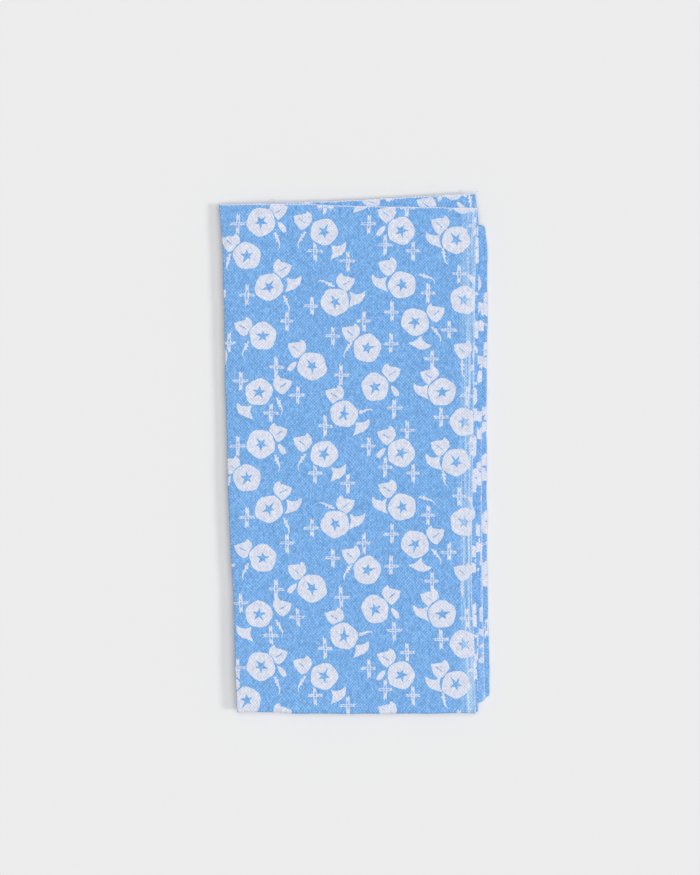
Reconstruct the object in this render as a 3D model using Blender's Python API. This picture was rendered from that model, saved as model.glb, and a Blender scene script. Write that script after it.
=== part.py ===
# Tenugui towel: one cut length of plain cotton, folded in three across its width and
# then back and forth into four layers, lying flat. It is one closed body.
# Seen from above, +X is the towel's right and +Y its upper end. +Z is up.

import math

import bmesh
import bpy

MM = 0.001

# The cloth before it is folded, in millimetres
CLOTH_WIDTH = 332.0
CLOTH_LENGTH = 900.0

# A ply is one thickness of cloth. Three plies lie on each other in each layer.
LAYERS = 4
PLIES = 3
PLY_THICK = 0.45
PLY_GAP = 0.12
LAYER_GAP = 0.3
PLY_PITCH = PLY_THICK + PLY_GAP
STRIP_THICK = PLIES * PLY_THICK + (PLIES - 1) * PLY_GAP
LAYER_PITCH = STRIP_THICK + LAYER_GAP

# The two skins of a ply, as shares of its thickness from its middle
SKIN_SIDES = (0.5, -0.5)

# Bends: a side fold joins two plies, a turn joins two layers
SIDE_BEND = PLY_PITCH / 2
SIDE_REACH = SIDE_BEND + PLY_THICK / 2
TURN_BEND = LAYER_PITCH / 2
TURN_REACH = TURN_BEND + STRIP_THICK / 2

# The lowest ply's selvage stays at least this far inside the left side fold, and its
# other columns at least this far from that selvage
TUCK = 1.0
TUCK_COLUMN = 0.25

# Mesh steps across a ply, round a side fold, along a layer and round a turn. The plies
# have their inner columns in common, which start and end this far from the edges.
PLY_STEPS = 6
SIDE_STEPS = 4
LAYER_STEPS = 12
TURN_STEPS = 6
COLUMN_MARGIN = 1.0

# Side folds of the four layers, top layer first. A row has the share of the way along
# the layer, 0 at its upper end and 1 at its lower end, and three places across in
# millimetres: the left side fold, the uppermost ply's free selvage, the right side fold.
LAYER_SIDES = (
    (
        (0.00, -62.3, 56.6, 55.8),
        (0.05, -61.2, 55.9, 57.3),
        (0.11, -60.3, 55.8, 57.3),
        (0.35, -59.2, 55.2, 56.8),
        (0.69, -56.8, 54.2, 56.1),
        (0.76, -55.5, 54.2, 56.2),
        (0.88, -55.0, 55.4, 56.6),
        (1.00, -53.7, 55.9, 56.9),
    ),
    (
        (0.00, -52.4, 57.4, 59.8),
        (0.17, -52.4, 57.4, 59.8),
        (0.33, -52.8, 57.0, 59.1),
        (0.77, -53.4, 56.2, 57.7),
        (1.00, -53.7, 55.9, 56.9),
    ),
    (
        (0.00, -51.2, 58.4, 60.7),
        (0.03, -50.8, 59.0, 61.4),
        (0.17, -50.6, 59.2, 61.6),
        (0.33, -51.0, 58.8, 61.2),
        (0.74, -50.4, 59.2, 61.5),
        (0.87, -49.8, 59.8, 62.1),
        (1.00, -49.4, 60.4, 62.6),
    ),
    (
        (0.00, -51.2, 58.4, 60.7),
        (0.03, -50.8, 59.0, 61.4),
        (0.17, -50.6, 59.2, 61.6),
        (0.33, -51.0, 58.8, 61.2),
        (0.74, -50.4, 59.2, 61.5),
        (0.87, -49.8, 59.8, 62.1),
        (1.00, -49.4, 60.4, 62.6),
    ),
)

# The top layer's raw end, ply by ply: place across and place along, in millimetres.
# The cut runs at a slant, so the middle ply shows past the top one.
RAW_END = (
    ((-62.3, 114.7), (-24.8, 114.8), (-6.4, 114.0), (21.2, 113.5), (56.6, 112.9)),
    ((-62.3, 114.7), (-40.5, 115.2), (-6.4, 116.3), (21.2, 117.8), (55.8, 119.8)),
    ((-39.2, 112.0), (20.0, 115.5), (55.8, 119.8)),
)

# The outermost line of each turn, as places across and along: lower, upper, lower
TURN_LINES = (
    ((-54.0, -119.4), (-47.5, -118.8), (-25.0, -119.7), (7.0, -119.8), (56.0, -119.5)),
    ((-52.0, 105.4), (56.0, 105.6), (61.4, 104.4)),
    ((-50.0, -115.4), (57.0, -115.2), (62.6, -112.0)),
)

# How much the hidden raw end of the bottom layer is lower at its right than at its left
END_SLANT = 3.0

# Fullness: height over the plain stack, at the pressed middle and at the two ends, and
# how much more than that at the right side
WAIST_FULLNESS = 0.95
END_FULLNESS = 1.05
RIGHT_FULLNESS = 0.03
HALF_WIDTH = 62.5
HALF_LENGTH = 120.0

# Soft ripples of the upper layers, in millimetres
RIPPLE_HEIGHT = 0.12
RIPPLE_ACROSS = 110.0
RIPPLE_ALONG = 75.0

# The upper end hangs a little past the layers under it
DROOP = 1.3
DROOP_START = 103.0
DROOP_END = 120.0
DROOP_FLOOR = 2.2
DROOP_CEILING = 5.6

# Sky blue print cotton, and the angle from which an edge is shaded as sharp
CLOTH_COLOUR = (0.22, 0.44, 0.79, 1.0)
CLOTH_ROUGHNESS = 0.9
SHARP_DEGREES = 40.0


def mix(a, b, share):
    return a + (b - a) * share


def ease(value, low, high):
    share = min(max((value - low) / (high - low), 0.0), 1.0)
    return share * share * (3.0 - 2.0 * share)


def bunch(step, steps):
    # Even steps drawn together towards both ends
    return 0.5 - 0.5 * math.cos(math.pi * step / steps)


def read(rows, column, at):
    # The value of one column where the first column is at, on straight runs between rows
    if at <= rows[0][0]:
        return rows[0][column]
    for low, high in zip(rows, rows[1:]):
        if at <= high[0]:
            return mix(low[column], high[column], (at - low[0]) / (high[0] - low[0]))
    return rows[-1][column]


def layer_sides(layer, share):
    rows = LAYER_SIDES[layer]
    left, selvage, right = (read(rows, column, share) for column in (1, 2, 3))
    under_ply = CLOTH_WIDTH - (selvage - left) - (right - left)
    return left, selvage, right, max(right - under_ply, left + TUCK)


def cross_section(sides):
    # The middle line of the three plies with its outward direction, from the top ply's
    # selvage to the lowest ply's selvage: ply number, across, height, two directions
    left, selvage, right, under = sides
    left_centre = left + SIDE_REACH
    right_centre = right - SIDE_REACH
    innermost = left_centre + COLUMN_MARGIN
    outermost = min(selvage, right_centre) - COLUMN_MARGIN
    inner = [mix(outermost, innermost, bunch(step, PLY_STEPS)) for step in range(PLY_STEPS + 1)]
    tucked = [max(across, under + TUCK_COLUMN) for across in inner]
    runs = (
        ([selvage] + inner + [left_centre], PLY_PITCH, 1.0),
        ([left_centre] + inner[::-1] + [right_centre], 0.0, -1.0),
        ([right_centre] + tucked + [under], -PLY_PITCH, 1.0),
    )
    points = []
    for ply, (columns, height, facing) in enumerate(runs):
        points += [(ply, across, height, 0.0, facing) for across in columns]
        end = columns[-1]
        if ply == PLIES - 1:
            break
        # The left fold bulges to the left, the right fold to the right
        swing = -1.0 if ply == 0 else 1.0
        for step in range(1, SIDE_STEPS):
            angle = math.pi * step / SIDE_STEPS
            across = end + swing * SIDE_BEND * math.sin(angle)
            rise = height - SIDE_BEND + SIDE_BEND * math.cos(angle)
            # Past the middle of the bend the point belongs to the next ply
            owner = ply + step / SIDE_STEPS
            points.append((owner, across, rise, -math.sin(angle), facing * math.cos(angle)))
    return points


def raw_end_line(ply, across):
    # A point of a side fold lies between two plies, so its end does too
    first = int(math.floor(ply))
    second = int(math.ceil(ply))
    start = read(RAW_END[first], 1, across)
    return mix(start, read(RAW_END[second], 1, across), ply - first)


def hidden_end_line(across):
    # The bottom layer takes what is left of the cloth's length
    top = RAW_END[0][0][1] - TURN_LINES[0][0][1]
    second = TURN_LINES[1][0][1] - TURN_LINES[0][0][1]
    third = TURN_LINES[1][0][1] - TURN_LINES[2][0][1]
    left_over = CLOTH_LENGTH - top - second - third
    slant = END_SLANT * (across - TURN_LINES[2][0][0]) / (2 * HALF_WIDTH)
    return TURN_LINES[2][0][1] + left_over - slant


def layer_ends(layer, share, ply, across):
    # The places along of a layer's upper and lower end. Only the very end of the top
    # layer has each ply's own raw edge.
    lower = read(TURN_LINES[0 if layer < 2 else 2], 1, across) + TURN_REACH
    if layer == 0:
        return raw_end_line(ply if share == 0.0 else 0, across), lower
    if layer == LAYERS - 1:
        return hidden_end_line(across), lower
    return read(TURN_LINES[1], 1, across) - TURN_REACH, lower


def layer_height(layer):
    return STRIP_THICK / 2 + (LAYERS - 1 - layer) * LAYER_PITCH


def soften(across, along, height):
    # Fullness, ripples and droop of the stack. The floor side stays flat.
    full = mix(WAIST_FULLNESS, END_FULLNESS, (along / HALF_LENGTH) ** 2)
    full += RIGHT_FULLNESS * (0.5 + 0.5 * across / HALF_WIDTH) ** 2
    wave = math.sin(math.tau * (across / RIPPLE_ACROSS + along / RIPPLE_ALONG))
    ripple = RIPPLE_HEIGHT * wave * height / (LAYERS * LAYER_PITCH)
    hang = ease(along, DROOP_START, DROOP_END) * ease(height, DROOP_FLOOR, DROOP_CEILING)
    return height * full + ripple - DROOP * hang


def path_stations():
    # The way through the cloth, from the top layer's raw end down to the bottom layer's:
    # layer, share along it, and the angle round the turn that follows the layer
    stations = []
    for layer in range(LAYERS):
        for step in range(LAYER_STEPS + 1):
            share = bunch(step, LAYER_STEPS)
            stations.append((layer, share if layer % 2 == 0 else 1.0 - share, 0.0))
        if layer < LAYERS - 1:
            end_share = 1.0 if layer % 2 == 0 else 0.0
            for step in range(1, TURN_STEPS):
                stations.append((layer, end_share, math.pi * step / TURN_STEPS))
    return stations


def station_sides(layer, share, angle):
    sides = layer_sides(layer, share)
    if angle == 0.0:
        return sides
    below = layer_sides(layer + 1, share)
    return tuple(mix(a, b, angle / math.pi) for a, b in zip(sides, below))


def place(layer, share, angle, ply, across, height):
    # Where a point of the cross section comes to lie
    upward = 1.0 if layer % 2 == 0 else -1.0
    if angle == 0.0:
        upper, lower = layer_ends(layer, share, ply, across)
        along = mix(upper, lower, share)
        level = layer_height(layer) + upward * height
    else:
        # The first and third turn are at the lower end and keep the top ply outside
        radius = TURN_BEND + upward * height
        line = read(TURN_LINES[layer], 1, across)
        along = line + upward * (TURN_REACH - radius * math.sin(angle))
        level = layer_height(layer) - TURN_BEND + radius * math.cos(angle)
    return across, along, soften(across, along, level)


def skin_quad(near, far, column, side):
    after = column + 1
    quad = [near[column][side], near[after][side], far[after][side], far[column][side]]
    # Where a ply runs to the right the quad starts a corner later, so that quads that
    # face each other are split along the same diagonal
    if quad[1].co.x > quad[0].co.x:
        quad = quad[1:] + quad[:1]
    return quad if side == 0 else [quad[0]] + quad[:0:-1]


def towel_mesh():
    grid = []
    for layer, share, angle in path_stations():
        row = []
        for ply, across, height, out_x, out_z in cross_section(station_sides(layer, share, angle)):
            pair = []
            for side in SKIN_SIDES:
                reach = side * PLY_THICK
                spot = (layer, share, angle, ply, across + reach * out_x, height + reach * out_z)
                pair.append(place(*spot))
            row.append(pair)
        grid.append(row)

    bm = bmesh.new()
    verts = [[[bm.verts.new(spot) for spot in pair] for pair in row] for row in grid]
    rows = len(verts)
    columns = len(verts[0])
    for row in range(rows - 1):
        for column in range(columns - 1):
            for side in (0, 1):
                bm.faces.new(skin_quad(verts[row], verts[row + 1], column, side))
    for row in range(rows - 1):
        for column, turned in ((0, False), (columns - 1, True)):
            near = verts[row][column]
            far = verts[row + 1][column]
            selvage = (near[0], far[0], far[1], near[1])
            bm.faces.new(selvage[::-1] if turned else selvage)
    for column in range(columns - 1):
        for row, turned in ((0, True), (rows - 1, False)):
            near = verts[row][column]
            far = verts[row][column + 1]
            raw_end = (near[0], far[0], far[1], near[1])
            bm.faces.new(raw_end[::-1] if turned else raw_end)
    bmesh.ops.triangulate(bm, faces=bm.faces[:], quad_method='FIXED')
    bmesh.ops.recalc_face_normals(bm, faces=bm.faces[:])
    centre_on_origin(bm)

    mesh = bpy.data.meshes.new("towel")
    bm.to_mesh(mesh)
    bm.free()
    return mesh


def centre_on_origin(bm):
    # The origin is under the middle of the towel, on the surface it lies on
    low = [min(vert.co[axis] for vert in bm.verts) for axis in range(3)]
    high = [max(vert.co[axis] for vert in bm.verts) for axis in range(3)]
    for vert in bm.verts:
        vert.co.x = (vert.co.x - (low[0] + high[0]) / 2) * MM
        vert.co.y = (vert.co.y - (low[1] + high[1]) / 2) * MM
        vert.co.z = (vert.co.z - low[2]) * MM


def cotton():
    material = bpy.data.materials.new("printed_cotton")
    material.use_nodes = True
    shader = material.node_tree.nodes["Principled BSDF"]
    shader.inputs["Base Color"].default_value = CLOTH_COLOUR
    shader.inputs["Roughness"].default_value = CLOTH_ROUGHNESS
    shader.inputs["Metallic"].default_value = 0.0
    return material


def main():
    for old in list(bpy.data.objects):
        bpy.data.objects.remove(old, do_unlink=True)
    mesh = towel_mesh()
    mesh.materials.append(cotton())
    mesh.shade_smooth()
    mesh.set_sharp_from_angle(angle=math.radians(SHARP_DEGREES))
    towel = bpy.data.objects.new("towel", mesh)
    bpy.context.collection.objects.link(towel)


main()
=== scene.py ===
# A tenugui: one length of thin printed cotton, folded in three across and in four along.
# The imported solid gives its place; here the cloth is a thin two-skinned sheet on the same
# folds, with the print, the weave, soft creases and loose yarns at its cut end.

import math
import random

import bpy
import numpy as np
from mathutils.geometry import delaunay_2d_cdt
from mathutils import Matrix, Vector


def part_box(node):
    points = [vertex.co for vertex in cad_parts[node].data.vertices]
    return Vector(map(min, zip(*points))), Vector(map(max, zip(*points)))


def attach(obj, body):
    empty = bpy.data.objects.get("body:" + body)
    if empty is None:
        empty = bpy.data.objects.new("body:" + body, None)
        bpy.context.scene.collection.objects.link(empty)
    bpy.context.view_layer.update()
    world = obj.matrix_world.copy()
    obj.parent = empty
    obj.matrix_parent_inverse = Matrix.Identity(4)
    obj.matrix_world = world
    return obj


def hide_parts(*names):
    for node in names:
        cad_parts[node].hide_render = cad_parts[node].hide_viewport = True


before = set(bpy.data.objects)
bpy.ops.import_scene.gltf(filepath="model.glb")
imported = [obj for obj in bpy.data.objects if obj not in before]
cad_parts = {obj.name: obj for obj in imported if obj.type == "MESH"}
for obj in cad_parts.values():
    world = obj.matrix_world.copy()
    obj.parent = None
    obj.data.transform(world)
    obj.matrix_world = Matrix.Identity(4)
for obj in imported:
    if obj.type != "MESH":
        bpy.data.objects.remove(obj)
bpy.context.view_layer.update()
towelLow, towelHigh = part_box("towel")
print("frame loaded, towel box", [round(float(v), 4) for v in (*towelLow, *towelHigh)])

mm = 0.001  # the cloth is laid out in millimetres, and made metres as its mesh is built
tau = 2 * math.pi


# The cloth and how it is folded

cloth = {
    "width": 332.0,
    "length": 900.0,
    "thick": 0.34,  # one thickness of cotton
    "plyPitch": 0.57,  # from one ply to the next in a layer of three
    "solidPly": 0.45,  # the solid's ply, whose outer faces the folds keep to
    "layerPitch": 1.89,  # from one layer of three plies to the next
    "layerThick": 1.59,
    "tuck": 1.0,  # how far the hidden selvage stays inside the left fold
    "grid": 5.6,  # spacing of the cloth's plain points
    "fineGrid": 3.4,  # the same on the upper face
    "rimStep": 1.3,  # the same along the upper raw end
    "cornerGrid": 1.4,  # the same in the turns, within cornerReach of the right edge
    "cornerReach": 9.0,
    "endMargin": 0.4,  # outlines keep this far inside the raw end and the hidden selvage
    "foldSteps": 7,  # lines of points along a side fold
    "turnSteps": 9,  # and through a turn
    "foldClear": 1.1,  # plain points stay this far from the middle of a side fold
    "farClear": 1.0,  # the same along the far raw end
    "rimClear": 0.1,  # and along the upper one, from where the bend begins
    "roughReach": 0.8,  # how far in the upper raw end's unevenness goes
    "curveSteps": 240,  # readings of each edge's curve
    "merge": 1e-5,  # points closer than this are one
    "sharpAngle": 60.0,  # bends sharper than this are shaded as edges
}

# Side folds of each layer from its upper end, share 0, to its lower end, share 1:
# share, left fold, free selvage, right fold. The two lowest layers lie alike.
lowFolds = (
    (0.00, -51.2, 58.4, 60.7), (0.03, -50.8, 59.0, 61.4), (0.17, -50.6, 59.2, 61.6),
    (0.33, -51.0, 58.8, 61.2), (0.74, -50.4, 59.2, 61.5), (0.87, -49.8, 59.8, 62.1),
    (1.00, -49.4, 60.4, 62.6),
)
sideFolds = (
    (
        (0.00, -62.3, 56.6, 55.8), (0.05, -61.2, 55.9, 57.3), (0.11, -60.3, 55.8, 57.3),
        (0.35, -59.2, 55.2, 56.8), (0.69, -56.8, 54.2, 56.1), (0.76, -55.5, 54.2, 56.2),
        (0.88, -55.0, 55.4, 56.6), (1.00, -53.7, 55.9, 56.9),
    ),
    (
        (0.00, -52.4, 57.4, 59.8), (0.17, -52.4, 57.4, 59.8), (0.33, -52.8, 57.0, 59.1),
        (0.77, -53.4, 56.2, 57.7), (1.00, -53.7, 55.9, 56.9),
    ),
    lowFolds,
    lowFolds,
)

# The slanting raw end of the upper layer, ply by ply: across, along
rawEnd = (
    ((-62.3, 114.7), (-24.8, 114.8), (-6.4, 114.0), (21.2, 113.5), (56.6, 112.9)),
    ((-62.3, 114.7), (-40.5, 115.2), (-6.4, 116.3), (21.2, 117.8), (55.8, 119.8)),
    ((-39.2, 112.0), (20.0, 115.5), (55.8, 119.8)),
)

# The outermost line of each turn from layer to layer: across, along
turnLines = (
    ((-54.0, -119.4), (-47.5, -118.8), (-25.0, -119.7), (7.0, -119.8), (56.0, -119.5)),
    ((-52.0, 105.4), (56.0, 105.6), (61.4, 104.4)),
    ((-50.0, -115.4), (57.0, -115.2), (62.6, -112.0)),
)

stack = {
    "waist": 0.95,  # height against the plain stack, where the towel was held tight
    "ends": 1.05,
    "right": 0.03,  # so much fuller at the right
    "halfWidth": 62.5,
    "halfLength": 120.0,
    "ripple": (0.12, 110.0, 75.0),  # height, and lengths across and along
    "droop": (1.3, 103.0, 120.0, 2.2, 5.6),  # depth, start, end, lowest, highest
    "leftDroop": (0.9, 51.8, 62.3),  # the upper layer's left edge hangs over too
    "stir": (0.12, 0.047, 0.052),  # layers don't lie quite level: height, paces along and across
    "stirEnds": 0.12,  # the same dies out towards the turns
    "leftWave": 0.11,  # the edges aren't quite straight
    "rightWaves": (0.13, 0.07),
    "selvageWave": 0.08,
    "turnWave": 0.12,
    "creaseSway": (1.4, 0.11),  # nor are the creases: distance, pace
    "slipReach": 70.0,  # how far down the layer its plies' ends still differ
    "endSlant": 3.0,
    "endLift": (0.45, 5.0),  # the raw end's upper ply lifts: height, reach along
    "endLiftAcross": (2.0, 30.0),  # past the left fold: where that begins, is full
}

# Soft creases pressed into the pile: across, along, turn in degrees, half length,
# half width, height (a trough is below zero)
creases = (
    (-8.0, 66.0, 4.0, 52.0, 5.0, -0.20),
    (-20.0, 31.0, 2.0, 46.0, 3.2, -0.26),
    (18.0, -48.0, -3.0, 50.0, 3.4, -0.26),
    (-34.0, -84.0, 68.0, 20.0, 3.0, 0.16),
    (34.0, 92.0, -58.0, 18.0, 3.6, 0.18),
    (-44.0, 96.0, 30.0, 16.0, 3.0, -0.16),
    (38.0, -98.0, 14.0, 20.0, 3.2, -0.18),
    (-10.0, -104.0, -8.0, 26.0, 2.6, 0.14),
    (48.0, 10.0, 84.0, 60.0, 3.4, 0.12),
    (-50.0, -20.0, 88.0, 70.0, 3.0, 0.12),
)

bend = cloth["plyPitch"] / 2
sideReach = bend + cloth["solidPly"] / 2
quarter = math.pi * bend / 2  # cloth in half of a side fold
turnBend = cloth["layerPitch"] / 2
turnReach = turnBend + cloth["layerThick"] / 2
turnCloth = math.pi * turnBend
centreShift = (sideFolds[0][0][1] + sideFolds[2][-1][3]) / 2


def smoothRows(rows, column):
    # A smooth curve through one column of a table, read densely. It never overshoots.
    x = np.array([row[0] for row in rows])
    y = np.array([row[column] for row in rows])
    rise = np.diff(y) / np.diff(x)
    slope = np.concatenate((rise[:1], np.zeros(len(x) - 2), rise[-1:]))
    steady = rise[1:] * rise[:-1] > 0
    pairs = rise[1:] + rise[:-1]
    slope[1:-1][steady] = (2 * rise[1:] * rise[:-1])[steady] / pairs[steady]
    dense = np.linspace(x[0], x[-1], cloth["curveSteps"])
    k = np.clip(np.searchsorted(x, dense, side="right") - 1, 0, len(x) - 2)
    span = x[k + 1] - x[k]
    t = (dense - x[k]) / span
    value = (2 * t**3 - 3 * t**2 + 1) * y[k] + (3 * t**2 - 2 * t**3) * y[k + 1]
    value += ((t**3 - 2 * t**2 + t) * slope[k] + (t**3 - t**2) * slope[k + 1]) * span
    return dense, value


foldCurves = [[smoothRows(rows, column) for column in (1, 2, 3)] for rows in sideFolds]
rawCurves = [smoothRows(rows, 1) for rows in rawEnd]
turnCurves = [smoothRows(rows, 1) for rows in turnLines]


def ease(value, low, high):
    share = np.clip((value - low) / (high - low), 0.0, 1.0)
    return share * share * (3 - 2 * share)


def layerSides(layer, share):
    # The layer's left fold, selvage, right fold and hidden selvage
    left, selvage, right = (np.interp(share, *curve) for curve in foldCurves[layer])
    wave = np.sin(share * 31.0 + layer * 2.1) + 0.6 * np.sin(share * 67.0 + layer)
    left = left + stack["leftWave"] * wave
    long, short = stack["rightWaves"]
    right = right - long * np.sin(share * 43.0 + layer * 1.3) - short * np.sin(share * 91.0)
    selvage = selvage + stack["selvageWave"] * np.sin(share * 57.0 + layer * 0.7)
    underPly = cloth["width"] - (selvage - left) - (right - left)
    return np.array([left, selvage, right, np.maximum(right - underPly, left + cloth["tuck"])])


def turnLine(turn, across):
    wave = stack["turnWave"] * np.sin(across * 0.31 + turn * 2.0)
    return np.interp(across, *turnCurves[turn]) + wave


def rawLine(ply, across):
    return np.interp(across, *rawCurves[ply])


def hiddenEnd(across):
    # The far raw end, from what the first three layers leave of the length
    (_, firstTurn), (_, secondTurn), (leftEnd, thirdTurn) = (line[0] for line in turnLines)
    slant = stack["endSlant"] * (across - leftEnd) / (2 * stack["halfWidth"])
    spent = rawEnd[0][0][1] + 2 * secondTurn - 2 * firstTurn - thirdTurn
    return thirdTurn + cloth["length"] - spent - slant


# Cloth in each layer and each turn, in the order in which the length runs through them
layerRuns = (
    rawEnd[0][1][1] - turnLines[0][2][1] - turnReach,
    turnLines[1][1][1] - turnLines[0][2][1] - 2 * turnReach,
    turnLines[1][1][1] - turnLines[2][1][1] - 2 * turnReach,
)
runs = [layerRuns[0], turnCloth, layerRuns[1], turnCloth, layerRuns[2], turnCloth]
runs.append(cloth["length"] - sum(runs))
breaks = np.concatenate(([0.0], np.cumsum(runs)))


def stations(v):
    # The layer and share of a place v of the length, how far into a turn it is, and
    # whether it lies in one
    run = np.clip(np.searchsorted(breaks, v, side="right") - 1, 0, 6)
    part = (v - breaks[run]) / np.array(runs)[run]
    layer = run // 2
    downward = layer % 2 == 0
    turning = run % 2 == 1
    share = np.where(turning, np.where(downward, 1.0, 0.0), np.where(downward, part, 1.0 - part))
    return layer, share, np.where(turning, part, 0.0), turning


def sidesAt(v):
    layer, share, part, turning = stations(v)
    sides = np.zeros((4, len(v)))
    for number in range(4):
        own = layer == number
        sides[:, own] = layerSides(number, share[own])
        if number < 3:
            into = own & turning
            below = layerSides(number + 1, share[into])
            sides[:, into] += (below - sides[:, into]) * part[into]
    return sides


def foldPlaces(v):
    # Where the two side folds lie in the flat cloth, counted from the free selvage
    left, selvage, right, under = sidesAt(v)
    first = selvage - left - sideReach + quarter
    return first, first + (right - left - 2 * sideReach) + 2 * quarter


def soften(across, along, height):
    # The pile's fullness, ripples, creases and droop; what lies on the floor stays flat
    full = stack["waist"] + (stack["ends"] - stack["waist"]) * (along / stack["halfLength"]) ** 2
    full = full + stack["right"] * (0.5 + 0.5 * across / stack["halfWidth"]) ** 2
    rise, over, long = stack["ripple"]
    level = height / (4 * cloth["layerPitch"])
    relief = rise * np.sin(tau * (across / over + along / long))
    sway, pace = stack["creaseSway"]
    for x, y, turn, halfLong, halfWide, size in creases:
        c, s = math.cos(math.radians(turn)), math.sin(math.radians(turn))
        a = (across - x) * c + (along - y) * s
        b = -(across - x) * s + (along - y) * c + sway * np.sin(a * pace + x)
        relief = relief + size * np.exp(-((a / halfLong) ** 4) - (b / halfWide) ** 2)
    depth, start, end, low, high = stack["droop"]
    droop = depth * ease(along, start, end)
    depth, start, end = stack["leftDroop"]
    droop = (droop + depth * ease(-across, start, end)) * ease(height, low, high)
    return height * full + relief * level - droop


# How uneven the upper raw end is, at the points of its rim. Its waves: height, pace, lag
roughWaves = ((0.07, 2.9, 0.0), (0.06, 7.3, 1.0), (0.08, 0.43, 0.0))
rimSteps = np.arange(0.0, cloth["width"] - cloth["rimStep"] / 2, cloth["rimStep"])
rimSteps = np.append(rimSteps, cloth["width"])
roughEnd = sum(height * np.sin(rimSteps * pace + lag) for height, pace, lag in roughWaves)


def foldCloth(u, v, side):
    # Flat cloth to folded cloth: u across from the free selvage, v along from the raw
    # end, side 0.5 on the printed face and -0.5 on the other. All in millimetres.
    u, v = np.asarray(u, float), np.asarray(v, float)
    layer, share, part, turning = stations(v)
    left, selvage, right, under = sidesAt(v)
    stirHeight, stirAlong, stirAcross = stack["stir"]
    leftCentre = left + sideReach
    rightCentre = right - sideReach
    first = selvage - leftCentre + quarter
    second = first + (rightCentre - leftCentre) + 2 * quarter

    pastFirst = u - first
    pastSecond = u - second
    aroundFirst = np.clip((pastFirst + quarter) / bend, 0.0, math.pi)
    aroundSecond = np.clip((pastSecond + quarter) / bend, 0.0, math.pi)
    across = leftCentre + np.where(pastFirst < 0, -pastFirst - quarter, pastFirst - quarter)
    across = np.where(np.abs(pastFirst) < quarter, leftCentre, across)
    across = across - bend * np.sin(aroundFirst)
    squeeze = (rightCentre - under) / (cloth["width"] - second - quarter)
    beyond = rightCentre - (pastSecond - quarter) * squeeze
    across = np.where(pastSecond > quarter, beyond, across)
    across = np.where(np.abs(pastSecond) <= quarter, rightCentre, across)
    across = across + bend * np.sin(aroundSecond)
    height = bend * (np.cos(aroundFirst) + np.cos(aroundSecond))
    outX = -np.sin(aroundFirst) - np.sin(aroundSecond)
    outZ = np.where(aroundSecond > 0, -np.cos(aroundSecond), np.cos(aroundFirst))
    reach = side * cloth["thick"]
    across = across + reach * outX
    height = height + reach * outZ

    ply = aroundFirst / math.pi + aroundSecond / math.pi
    common = rawLine(0, across)
    slip = np.where(ply <= 1, ply * (rawLine(1, across) - common), 0.0)
    deeper = (2 - ply) * (rawLine(1, across) - common) + (ply - 1) * (rawLine(2, across) - common)
    slip = np.where(ply > 1, deeper, slip) * (1 - ease(v, 0.0, stack["slipReach"]))

    along = np.zeros(len(u))
    level = np.zeros(len(u))
    for number in range(4):
        upward = 1.0 if number % 2 == 0 else -1.0
        base = cloth["layerThick"] / 2 + (3 - number) * cloth["layerPitch"]
        flat = (layer == number) & ~turning
        x = across[flat]
        lower = turnLine(0 if number < 2 else 2, x) + turnReach
        if number == 0:
            upper = rawLine(0, x) + slip[flat]
        elif number == 3:
            upper = hiddenEnd(x)
        else:
            upper = turnLine(1, x) - turnReach
        along[flat] = upper + (lower - upper) * share[flat]
        level[flat] = base + upward * height[flat]
        if number < 3:
            stir = np.sin(along[flat] * stirAlong + number * 2.3)
            stir = stir * np.cos(x * stirAcross + number * 1.7)
            inner = ease(share[flat] * (1 - share[flat]), 0.0, stack["stirEnds"])
            level[flat] += stirHeight * stir * inner
            rounding = (layer == number) & turning
            angle = math.pi * part[rounding]
            radius = turnBend + upward * height[rounding]
            line = turnLine(number, across[rounding])
            along[rounding] = line + upward * (turnReach - radius * np.sin(angle))
            level[rounding] = base - turnBend + radius * np.cos(angle)

    # The raw end is a little uneven, and its upper ply lifts off the two below
    along = along + np.interp(u, rimSteps, roughEnd) * np.exp(-v / cloth["roughReach"])
    rise, far = stack["endLift"]
    lift = rise * np.exp(-((v / far) ** 2)) * ease(first - u, *stack["endLiftAcross"])
    return across - centreShift, along, soften(across, along, level) + lift


# The print: one repeat, charted on the upper face, in millimetres from the
# towel's middle. Each kind of motif has its places: across, along and, where it isn't
# upright, its turn in degrees. A stalk's turn is where its tip points, 90 being up.

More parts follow.
